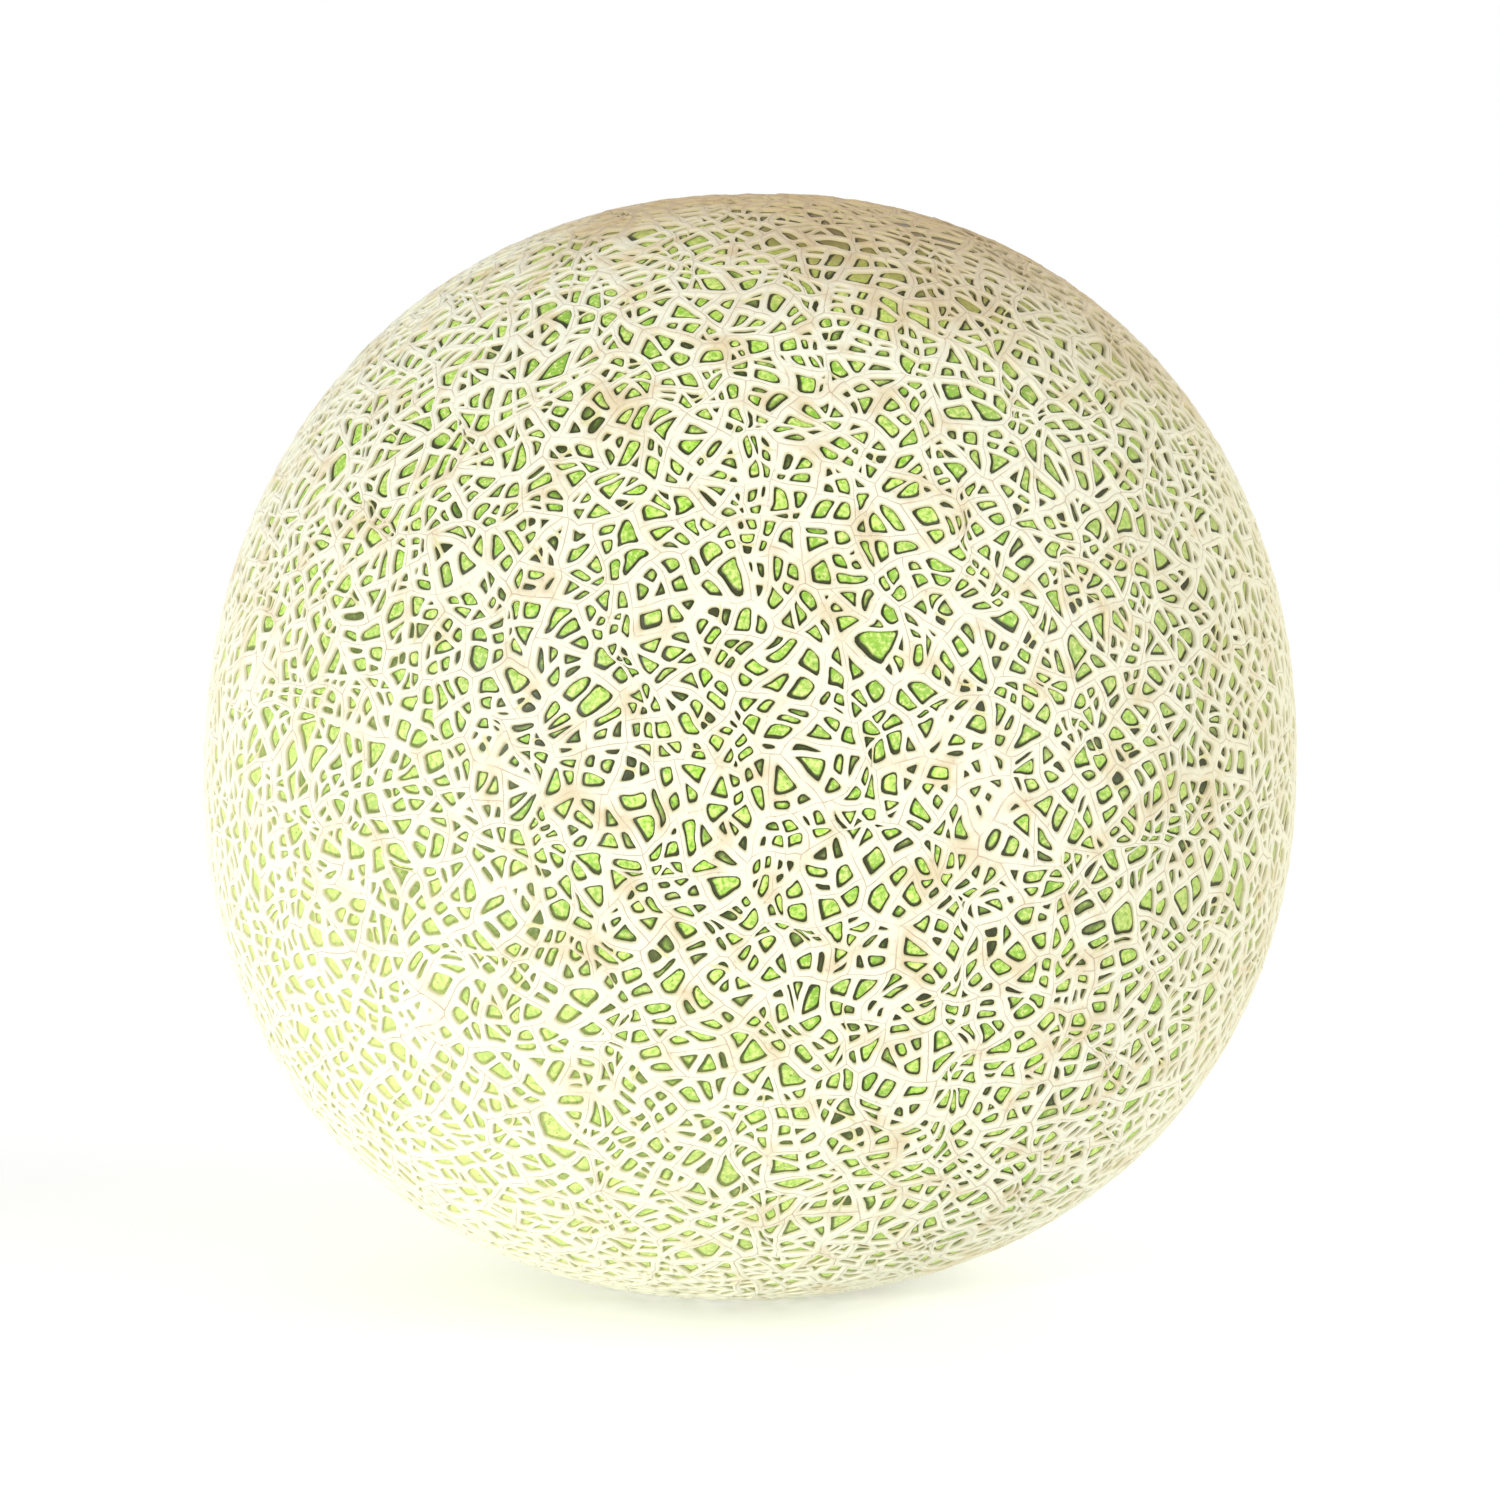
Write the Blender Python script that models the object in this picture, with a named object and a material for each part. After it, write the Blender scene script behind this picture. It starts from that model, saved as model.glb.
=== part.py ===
"""A whole netted cantaloupe melon, grown as one piece and resting on its own flat spot.

Metres, +Z up. The stem end is on top, the front of the fruit faces -Y, and the origin is on the
surface that the melon rests on, in the middle of its footprint.
"""

import math

import bmesh
import bpy
from mathutils import Vector

# Driving dimensions, in metres. The surface goes over the crests of the net.
HALF_WIDTH = 0.0796  # of the round plan, before the fruit's own unevenness
HALF_HEIGHT = 0.0803  # from the middle to the stem end, before the dish is pressed in
FULLNESS = 2.16  # exponent of the side outline: 2 is an ellipse, more is squarer

REST_RADIUS = 0.015  # the flat spot that the melon lay on
DISH_RADIUS = 0.013  # the shallow hollow round the stem scar
DISH_DEPTH = 0.0020
SCAR_RADIUS = 0.005  # where the stem slipped off
SCAR_DEPTH = 0.0008

# A fruit isn't quite round: each number is a share of the radius.
DIAGONAL_STRETCH = 0.0068  # the upper right and the lower left are fuller
PEAR_SHAPE = 0.0086  # the belly sits a little below the middle
DEPTH_LOSS = 0.010  # front to back is shorter than side to side
THREE_SIDED = 0.004  # a soft three-cornered plan

PLAN_STEPS = 72  # round the stem axis
SIDE_STEPS = 28  # from the flat spot up to the edge of the dish
DISH_STEPS = 5  # from there in to the scar
SCAR_STEPS = 2


def side_height(reach):
    """Height above the middle of the side outline at this distance from the stem axis."""
    return HALF_HEIGHT * (1 - (reach / HALF_WIDTH) ** FULLNESS) ** (1 / FULLNESS)


def stem_end_height(reach):
    """Height above the middle of the stem end, with the dish and the scar pressed in."""
    height = side_height(reach)
    if reach < DISH_RADIUS:
        height -= DISH_DEPTH * (0.5 + 0.5 * math.cos(math.pi * reach / DISH_RADIUS))
    if reach < SCAR_RADIUS:
        height -= SCAR_DEPTH * (1 - (reach / SCAR_RADIUS) ** 4)
    return height


def side_outline():
    """Points on +X from the edge of the flat spot, up the outer side, to the middle of the scar."""
    low = math.asin((REST_RADIUS / HALF_WIDTH) ** (FULLNESS / 2))
    high = math.asin((DISH_RADIUS / HALF_WIDTH) ** (FULLNESS / 2))
    points = []
    for step in range(SIDE_STEPS + 1):
        turn = low + (math.pi - high - low) * step / SIDE_STEPS
        reach = HALF_WIDTH * math.sin(turn) ** (2 / FULLNESS)
        height = side_height(reach)
        points.append(Vector((reach, 0, math.copysign(height, -math.cos(turn)))))
    for step in range(1, DISH_STEPS + 1):
        reach = DISH_RADIUS + (SCAR_RADIUS - DISH_RADIUS) * step / DISH_STEPS
        points.append(Vector((reach, 0, stem_end_height(reach))))
    for step in range(1, SCAR_STEPS + 1):
        reach = SCAR_RADIUS * (1 - step / SCAR_STEPS)
        points.append(Vector((reach, 0, stem_end_height(reach))))
    return points


def grown(point):
    """Moves a point of the even shape to where it is on the uneven fruit."""
    x, y, z = point.normalized()
    share = 1 + DIAGONAL_STRETCH * 2 * x * z + PEAR_SHAPE * (4 * z**3 - 3 * z)
    share += THREE_SIDED * (y**3 - 3 * y * x**2) - DEPTH_LOSS * y**2
    return point * share


def spin_body():
    """Spins the side outline into one closed body and closes its base with a flat face."""
    bm = bmesh.new()
    verts = [bm.verts.new(point) for point in side_outline()]
    edges = [bm.edges.new(pair) for pair in zip(verts, verts[1:])]
    bmesh.ops.spin(
        bm,
        geom=verts + edges,
        cent=(0, 0, 0),
        axis=(0, 0, 1),
        angle=math.tau,
        steps=PLAN_STEPS,
        use_merge=True,
    )
    bmesh.ops.remove_doubles(bm, verts=bm.verts, dist=1e-6)
    for vert in bm.verts:
        vert.co = grown(vert.co)
    rim = [edge for edge in bm.edges if edge.is_boundary]
    foot = {vert for edge in rim for vert in edge.verts}
    level = sum(vert.co.z for vert in foot) / len(foot)
    for vert in foot:
        vert.co.z = level
    bmesh.ops.holes_fill(bm, edges=rim, sides=0)
    bmesh.ops.recalc_face_normals(bm, faces=bm.faces)
    return bm


def centre_on_footprint(bm):
    """Puts the middle of the box round the body over the origin, and its flat spot at height 0."""
    low = [min(vert.co[axis] for vert in bm.verts) for axis in range(3)]
    high = [max(vert.co[axis] for vert in bm.verts) for axis in range(3)]
    shift = Vector((-(low[0] + high[0]) / 2, -(low[1] + high[1]) / 2, -low[2]))
    bmesh.ops.translate(bm, verts=bm.verts, vec=shift)


def rind_material():
    """The mean colour of the pale net and the green skin in its gaps."""
    material = bpy.data.materials.new("netted_rind")
    material.use_nodes = True
    shader = material.node_tree.nodes["Principled BSDF"]
    shader.inputs["Base Color"].default_value = (0.62, 0.63, 0.40, 1)
    shader.inputs["Roughness"].default_value = 0.65
    shader.inputs["Metallic"].default_value = 0
    return material


def build_melon():
    """Makes the melon, the only node of this part."""
    bm = spin_body()
    centre_on_footprint(bm)
    mesh = bpy.data.meshes.new("melon")
    bm.to_mesh(mesh)
    bm.free()
    mesh.materials.append(rind_material())
    for face in mesh.polygons:
        face.use_smooth = len(face.vertices) < 5  # the flat spot stays flat
    melon = bpy.data.objects.new("melon", mesh)
    bpy.context.scene.collection.objects.link(melon)
    return melon


def main():
    """Empties the scene and builds the part in it."""
    for thing in list(bpy.data.objects):
        bpy.data.objects.remove(thing, do_unlink=True)
    build_melon()


main()
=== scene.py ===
"""The looks of a whole netted cantaloupe melon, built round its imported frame.

The rind is made the way that it grows. Cracks divide the skin into cells, first the old wide
cracks and then younger and thinner ones between them, and cork heals each crack as a raised ridge.
The green skin shows at the bottom of the windows that the ridges leave open. Metres, +Z up.
"""

import cmath
import logging
import math
from dataclasses import dataclass, field
from enum import Enum, IntEnum

import bmesh
import bpy
import numpy as np
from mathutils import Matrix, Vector

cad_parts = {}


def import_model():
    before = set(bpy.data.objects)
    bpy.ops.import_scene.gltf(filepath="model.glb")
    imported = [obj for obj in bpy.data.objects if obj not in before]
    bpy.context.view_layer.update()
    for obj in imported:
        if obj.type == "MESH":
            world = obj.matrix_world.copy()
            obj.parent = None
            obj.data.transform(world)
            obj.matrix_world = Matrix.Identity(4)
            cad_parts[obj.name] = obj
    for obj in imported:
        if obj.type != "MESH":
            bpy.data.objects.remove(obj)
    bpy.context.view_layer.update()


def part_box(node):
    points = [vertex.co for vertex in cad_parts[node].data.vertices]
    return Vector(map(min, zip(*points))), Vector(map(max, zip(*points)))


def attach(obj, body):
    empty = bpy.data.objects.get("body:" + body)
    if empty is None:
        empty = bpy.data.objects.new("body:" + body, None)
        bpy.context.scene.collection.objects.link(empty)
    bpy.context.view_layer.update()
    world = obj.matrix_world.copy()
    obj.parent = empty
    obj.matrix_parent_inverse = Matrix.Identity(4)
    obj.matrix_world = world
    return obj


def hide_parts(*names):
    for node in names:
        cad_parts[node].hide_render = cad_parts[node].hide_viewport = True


Array = np.ndarray
Socket = bpy.types.NodeSocket

LOG = logging.getLogger("melon")
NODE = "melon"
BODY = "root"


def linear(red: float, green: float, blue: float) -> tuple[float, float, float, float]:
    """Turns a display colour into the linear one that shaders use.

    Args:
        red: 0 to 255, as are the other two.
        green: see red.
        blue: see red.

    Returns:
        The linear colour with alpha 1.
    """
    parts = [part / 255 for part in (red, green, blue)]
    parts = [p / 12.92 if p <= 0.04045 else ((p + 0.055) / 1.055) ** 2.4 for p in parts]
    return (*parts, 1.0)


def unit(vectors: Array) -> Array:
    """Scales each row to length 1."""
    return vectors / np.linalg.norm(vectors, axis=-1, keepdims=True)


def smooth_step(low: float, high: float, value: Array) -> Array:
    """Rises softly from 0 at low to 1 at high."""
    share = np.clip((value - low) / (high - low), 0, 1)
    return share * share * (3 - 2 * share)


@dataclass(frozen=True)
class Ripples:
    """A smooth random field over the melon: waves of about one length that cross each other.

    Attributes:
        wavelength: the mean distance from crest to crest.
        seed: picks one of many such fields.
        waves: how many waves are summed.
    """

    wavelength: float
    seed: int
    waves: int = 20

    def at(self, points: Array) -> Array:
        """Reads the field.

        Args:
            points: places on the melon, one row each.

        Returns:
            One value for each place, nearly always between -1 and 1.
        """
        rng = np.random.default_rng(self.seed)
        heading = unit(rng.normal(size=(self.waves, 3)))
        number = math.tau / self.wavelength * rng.uniform(0.7, 1.3, (self.waves, 1))
        phase = rng.uniform(0, math.tau, self.waves)
        total = np.zeros(len(points))
        for wave, start in zip(heading * number, phase):
            total += np.sin(points @ wave + start)
        return total / math.sqrt(2 * self.waves)


@dataclass
class MelonShape:
    """The uneven round body, measured over the crests of the net, in the frame's own place.

    Attributes:
        low: lowest corner of the CAD body's box.
        high: highest corner of that box.
        half_width: of the round plan, before the unevenness.
        half_height: from the middle to the stem end.
        fullness: exponent of the side outline, where 2 is an ellipse.
        rest_radius: of the flat spot underneath.
        dish_radius: of the hollow round the stem scar.
        dish_depth: of that hollow.
        diagonal_stretch: how much fuller the upper right and lower left are.
        pear_shape: how much the belly sits below the middle.
        depth_loss: how much shorter it is front to back.
        three_sided: how much the plan has three soft corners.
    """

    low: Array
    high: Array
    half_width: float = 0.0796
    half_height: float = 0.0803
    fullness: float = 2.16
    rest_radius: float = 0.015
    dish_radius: float = 0.013
    dish_depth: float = 0.0020
    diagonal_stretch: float = 0.0068
    pear_shape: float = 0.0086
    depth_loss: float = 0.010
    three_sided: float = 0.004
    foot: float = field(init=False)
    shift: Array = field(init=False)

    def __post_init__(self) -> None:
        """Finds the flat spot's height, and the shift that lays the shape in the frame's box."""
        turns = np.linspace(0, math.tau, 144, endpoint=False)
        side = (self.rest_radius / self.half_width) ** self.fullness
        drop = self.half_height * (1 - side) ** (1 / self.fullness)
        ring = [np.cos(turns) * self.rest_radius, np.sin(turns) * self.rest_radius]
        ring = np.stack([*ring, np.full_like(turns, -drop)], axis=1)
        self.foot = float((ring * self._growth(unit(ring))[:, None])[:, 2].mean())
        self.shift = np.zeros(3)
        across, up = np.meshgrid(turns, np.arcsin(np.linspace(-1, 1, 361)))
        ball = [np.cos(across) * np.cos(up), np.sin(across) * np.cos(up), np.sin(up)]
        around = self.outer(np.stack(ball, axis=-1).reshape(-1, 3))
        mine = (around.min(0) + around.max(0)) / 2
        self.shift = (self.low + self.high) / 2 - mine

    def _growth(self, directions: Array) -> Array:
        """The share of the even shape's radius that the fruit has in each direction."""
        x, y, z = directions.T
        share = 1 + self.diagonal_stretch * 2 * x * z + self.pear_shape * (4 * z**3 - 3 * z)
        return share + self.three_sided * (y**3 - 3 * y * x**2) - self.depth_loss * y**2

    @property
    def centre(self) -> Array:
        """The point that the directions are seen from."""
        return self.shift

    @property
    def mean_radius(self) -> float:
        """A round figure for turning lengths into angles."""
        return (self.half_width + self.half_height) / 2

    def outer(self, directions: Array) -> Array:
        """Finds the surface over the crests of the net.

        Args:
            directions: unit rows, seen from the centre.

        Returns:
            One point for each direction.
        """
        reach = np.hypot(directions[:, 0], directions[:, 1])
        power = (reach / self.half_width) ** self.fullness
        power += (np.abs(directions[:, 2]) / self.half_height) ** self.fullness
        points = directions * power[:, None] ** (-1 / self.fullness)
        near = np.clip(np.hypot(points[:, 0], points[:, 1]) / self.dish_radius, 0, 1)
        dish = self.dish_depth * (0.5 + 0.5 * np.cos(math.pi * near))
        points[:, 2] -= np.where(points[:, 2] > 0, dish, 0)
        points *= self._growth(directions)[:, None]
        points[:, 2] = np.maximum(points[:, 2], self.foot)
        return points + self.shift

    def below(self, directions: Array, depth: Array | float) -> Array:
        """Points this deep under the crests, straight towards the centre."""
        return self.outer(directions) - directions * np.reshape(depth, (-1, 1))


class Age(IntEnum):
    """How early a crack opened. Older cracks healed into wider and higher ridges."""

    FIRST = 0
    OLD = 1
    LATE = 2
    YOUNG = 3


@dataclass(frozen=True)
class Ridge:
    """The cork that heals a crack.

    Attributes:
        half_width: from the crack line to the foot.
        height: of the crest over the skin, as a share of the highest crest.
        groove: depth of the crack line in the crest, as such a share.
    """

    half_width: float
    height: float
    groove: float


RIDGES = {
    Age.FIRST: Ridge(0.00071, 1.00, 0.18),
    Age.OLD: Ridge(0.00060, 0.95, 0.16),
    Age.LATE: Ridge(0.00034, 0.80, 0.05),
    Age.YOUNG: Ridge(0.00019, 0.40, 0.00),
}


@dataclass
class Columns:
    """The outlines of all cells that have the same number of points.

    Attributes:
        points: number of each outline point, one row for each cell, turning left seen from outside.
        ages: age of the ridge from each point to the next.
        cells: number of each cell.
    """

    points: Array
    ages: Array
    cells: Array


@dataclass(frozen=True)
class Cut:
    """One straight crack across a cell.

    Attributes:
        sides: numbers of the two sides of the outline that it ends on.
        shares: how far along those sides it ends.
        fullness: how round the leaner of the two parts is, 1 for a circle.
    """

    sides: list[int]
    shares: list[float]
    fullness: float

    @classmethod
    def along(cls, outline: list[complex], place: complex, square: complex) -> "Cut":
        """Cuts a bulging outline in two.

        Args:
            outline: its corners, as complex numbers.
            place: that the crack runs through.
            square: the direction square to the crack.

        Returns:
            The cut.
        """
        reach = [((corner - place) / square).real for corner in outline]
        parts: tuple[list[complex], list[complex]] = ([], [])
        sides = []
        shares = []
        for number, (start, end) in enumerate(zip(reach, reach[1:] + reach[:1])):
            corner = outline[number]
            parts[start < 0].append(corner)
            if (start < 0) != (end < 0):
                share = min(0.96, max(0.04, start / (start - end)))
                spot = corner + (outline[(number + 1) % len(outline)] - corner) * share
                parts[0].append(spot)
                parts[1].append(spot)
                sides.append(number)
                shares.append(share)
        return cls(sides, shares, min(cls._fullness(part) for part in parts))

    @staticmethod
    def _fullness(outline: list[complex]) -> float:
        """How round an outline is, 1 for a circle."""
        sides = list(zip(outline, outline[1:] + outline[:1]))
        area = abs(sum((start.conjugate() * end).imag for start, end in sides)) / 2
        return 4 * math.pi * area / sum(abs(end - start) for start, end in sides) ** 2


@dataclass
class CrackMap:
    """Cracks that divide a ball the size of the melon into cells, older ones first.

    Attributes:
        radius: of the ball.
        first_cells: cells between the first cracks.
        scatter: how unevenly those lie, about as a share of their spacing.
        old_area: size above which an old crack crosses a cell.
        late_area: size above which a late crack does.
        young_area: size above which a young crack may.
        young_share: of the cells that large, those that get a young crack.
        spread: how much those sizes vary from cell to cell, as a log deviation.
        lean: largest turn of a crack from square across its cell, in radians.
        shift: how far from the middle of a cell a crack may run, as a share of the cell.
        tries: cracks to choose from, so that few parts are slivers.
        spacing: greatest distance between points on an outline.
        seed: of everything random here.
    """

    radius: float
    first_cells: int = 1500
    scatter: float = 0.85
    old_area: float = 36e-6
    late_area: float = 11.5e-6
    young_area: float = 7e-6
    young_share: float = 0.12
    spread: float = 0.27
    lean: float = 0.50
    shift: float = 0.32
    tries: int = 4
    spacing: float = 0.00080
    seed: int = 7
    rng: np.random.Generator = field(init=False)
    directions: Array = field(init=False)
    heights: Array = field(init=False)
    grooves: Array = field(init=False)
    groups: list[Columns] = field(init=False)

    def grow(self) -> None:
        """Opens the cracks age by age, then reads off the outlines of the cells."""
        self.rng = np.random.default_rng(self.seed)
        bm = self._first_cracks()
        rank = bm.edges.layers.int.new("age")
        for face in list(bm.faces):
            for old in self._divide(bm, rank, face, Age.OLD, self.old_area):
                for late in self._divide(bm, rank, old, Age.LATE, self.late_area):
                    if self.rng.random() < self.young_share:
                        if self._area(late) > self.young_area:
                            self._cross(bm, rank, late, Age.YOUNG)
        self._read(bm, rank)
        bm.free()

    def _first_cracks(self) -> bmesh.types.BMesh:
        """Lays the first cracks halfway between scattered points.

        Returns:
            A mesh on the unit ball with one face for each cell.
        """
        count = self.first_cells
        step = np.arange(count) + 0.5
        up = 1 - 2 * step / count
        turn = step * math.pi * (3 - math.sqrt(5))
        flat = np.sqrt(1 - up * up)
        seeds = np.stack([flat * np.cos(turn), flat * np.sin(turn), up], axis=1)
        seeds = unit(seeds + self.rng.normal(size=seeds.shape) * self.scatter / math.sqrt(count))
        hull = bmesh.new()
        verts = [hull.verts.new(seed) for seed in seeds]
        bmesh.ops.convex_hull(hull, input=verts)
        hull.faces.ensure_lookup_table()
        hull.faces.index_update()
        bm = bmesh.new()
        corners = []
        for face in hull.faces:
            face.normal_update()
            outward = face.normal if face.normal.dot(face.verts[0].co) > 0 else -face.normal
            corners.append(bm.verts.new(outward))
        for vert in hull.verts:
            around = vert.co.normalized()
            east = around.orthogonal().normalized()
            north = around.cross(east)
            ring = [corners[face.index] for face in vert.link_faces]
            ring.sort(key=lambda v: math.atan2(v.co.dot(north), v.co.dot(east)))
            bm.faces.new(ring)
        hull.free()
        return bm

    def _area(self, face: bmesh.types.BMFace) -> float:
        """The size of a cell on the ball."""
        return face.calc_area() * self.radius**2

    def _divide(
        self,
        bm: bmesh.types.BMesh,
        rank: bmesh.types.BMLayerItem,
        face: bmesh.types.BMFace,
        age: Age,
        area: float,
    ) -> list[bmesh.types.BMFace]:
        """Crosses a cell with cracks of one age until its parts are small enough.

        Args:
            bm: the mesh that the cell is in.
            rank: the layer that holds the age of each edge.
            face: the cell.
            age: of the cracks.
            area: about the largest size that is left whole.

        Returns:
            The parts.
        """
        waiting = [face]
        done = []
        while waiting:
            cell = waiting.pop()
            limit = area * math.exp(self.spread * self.rng.normal())
            if self._area(cell) > limit:
                waiting += self._cross(bm, rank, cell, age)
            else:
                done.append(cell)
        return done

    def _cross(
        self,
        bm: bmesh.types.BMesh,
        rank: bmesh.types.BMLayerItem,
        face: bmesh.types.BMFace,
        age: Age,
    ) -> list[bmesh.types.BMFace]:
        """Runs one crack across the short way of a cell, from edge to edge.

        Args:
            bm: the mesh that the cell is in.
            rank: the layer that holds the age of each edge.
            face: the cell.
            age: of the crack.

        Returns:
            The two parts.
        """
        corners = [loop.vert.co for loop in face.loops]
        centre = sum(corners, Vector()).normalized()
        east = centre.orthogonal().normalized()
        north = centre.cross(east)
        outline = [complex(co.dot(east), co.dot(north)) / co.dot(centre) for co in corners]
        cut = self._best_cut(outline)
        loops = list(face.loops)
        starts = [(loops[side].edge, loops[side].vert) for side in cut.sides]
        ends = []
        for (edge, vert), side, share in zip(starts, cut.sides, cut.shares):
            spot = outline[side] + (outline[(side + 1) % len(outline)] - outline[side]) * share
            part, new = bmesh.utils.edge_split(edge, vert, share)
            part[rank] = edge[rank]
            new.co = (centre + east * spot.real + north * spot.imag).normalized()
            ends.append(new)
        other, loop = bmesh.utils.face_split(face, *ends)
        loop.edge[rank] = age
        return [face, other]

    def _best_cut(self, outline: list[complex]) -> Cut:
        """Picks the best of a few random cracks across the short way of a cell."""
        sides = [(b - a, (a + b) / 2) for a, b in zip(outline, outline[1:] + outline[:1])]
        length = sum(abs(side) for side, _ in sides)
        mean = sum(abs(side) * middle for side, middle in sides) / length
        long_way = cmath.sqrt(sum(abs(side) * (middle - mean) ** 2 for side, middle in sides))
        long_way /= abs(long_way)
        cuts = []
        for _ in range(self.tries):
            square = long_way * cmath.rect(1, self.rng.uniform(-self.lean, self.lean))
            shift = self.rng.uniform(-self.shift, self.shift) * length / math.tau
            cuts.append(Cut.along(outline, mean + square * shift, square))
        return max(cuts, key=lambda cut: cut.fullness)

    def _read(self, bm: bmesh.types.BMesh, rank: bmesh.types.BMLayerItem) -> None:
        """Sets points along the edges and lists the outline of each cell.

        Args:
            bm: the finished mesh of cells.
            rank: the layer that holds the age of each edge.
        """
        bm.verts.index_update()
        bm.edges.index_update()
        directions = [tuple(vert.co.normalized()) for vert in bm.verts]
        heights = [max(RIDGES[e[rank]].height for e in v.link_edges) for v in bm.verts]
        grooves = [max(RIDGES[e[rank]].groove for e in v.link_edges) for v in bm.verts]
        inner = []
        for edge in bm.edges:
            start, end = (np.array(vert.co) for vert in edge.verts)
            length = float(np.linalg.norm(end - start)) * self.radius
            count = max(1, math.ceil(length / self.spacing))
            inner.append(list(range(len(directions), len(directions) + count - 1)))
            for step in range(1, count):
                directions.append(tuple(start + (end - start) * step / count))
            heights += [RIDGES[edge[rank]].height] * (count - 1)
            grooves += [RIDGES[edge[rank]].groove] * (count - 1)
        outlines: dict[int, list[tuple[list[int], list[int], int]]] = {}
        for number, face in enumerate(bm.faces):
            points: list[int] = []
            ages: list[int] = []
            for loop in face.loops:
                between = inner[loop.edge.index]
                forward = loop.edge.verts[0] == loop.vert
                points += [loop.vert.index, *(between if forward else reversed(between))]
                ages += [loop.edge[rank]] * (len(between) + 1)
            outlines.setdefault(len(points), []).append((points, ages, number))
        self.directions = unit(np.array(directions))
        self.heights = np.array(heights)
        self.grooves = np.array(grooves)
        self.groups = [
            Columns(*(np.array(part) for part in zip(*group)))
            for _, group in sorted(outlines.items())
        ]


@dataclass
class Patchwork:
    """Points, numbers and faces of a mesh, gathered part by part.

    Attributes:
        directions: unit rows, seen from the melon's centre.
        depths: how deep each point lies under the crests.
        marks: named numbers at each point, for the materials.
        quads: four point numbers a row.
        triangles: three point numbers a row.
        count: of the points so far.
        ground: depth of the skin under the crests.
    """

    ground: float
    directions: list[Array] = field(default_factory=list)
    depths: list[Array] = field(default_factory=list)
    marks: dict[str, list[Array]] = field(default_factory=dict)
    quads: list[Array] = field(default_factory=list)
    triangles: list[Array] = field(default_factory=list)
    count: int = 0

    def add(self, directions: Array, depths: Array, **marks: Array) -> Array:
        """Adds points.

        Args:
            directions: of any shape that ends in 3.
            depths: of that shape without the 3.
            marks: of the same shape as depths, by name.

        Returns:
            The points' numbers, in the shape of depths.
        """
        numbers = np.arange(self.count, self.count + depths.size).reshape(depths.shape)
        self.count += depths.size
        self.directions.append(directions.reshape(-1, 3))
        self.depths.append(depths.ravel())
        for name, values in marks.items():
            spread = np.broadcast_to(values, depths.shape)
            self.marks.setdefault(name, []).append(spread.ravel())
        return numbers

    def band(self, outer: Array, inner: Array) -> None:
        """Joins two rings of the same number of points, one row for each cell."""
        turned = [outer, np.roll(outer, -1, 1), np.roll(inner, -1, 1), inner]
        self.quads.append(np.stack(turned, axis=-1).reshape(-1, 4))

    def fan(self, ring: Array, middle: Array) -> None:
        """Closes each ring to one point in its middle."""
        turned = [ring, np.roll(ring, -1, 1), np.broadcast_to(middle[:, None], ring.shape)]
        self.triangles.append(np.stack(turned, axis=-1).reshape(-1, 3))


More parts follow.
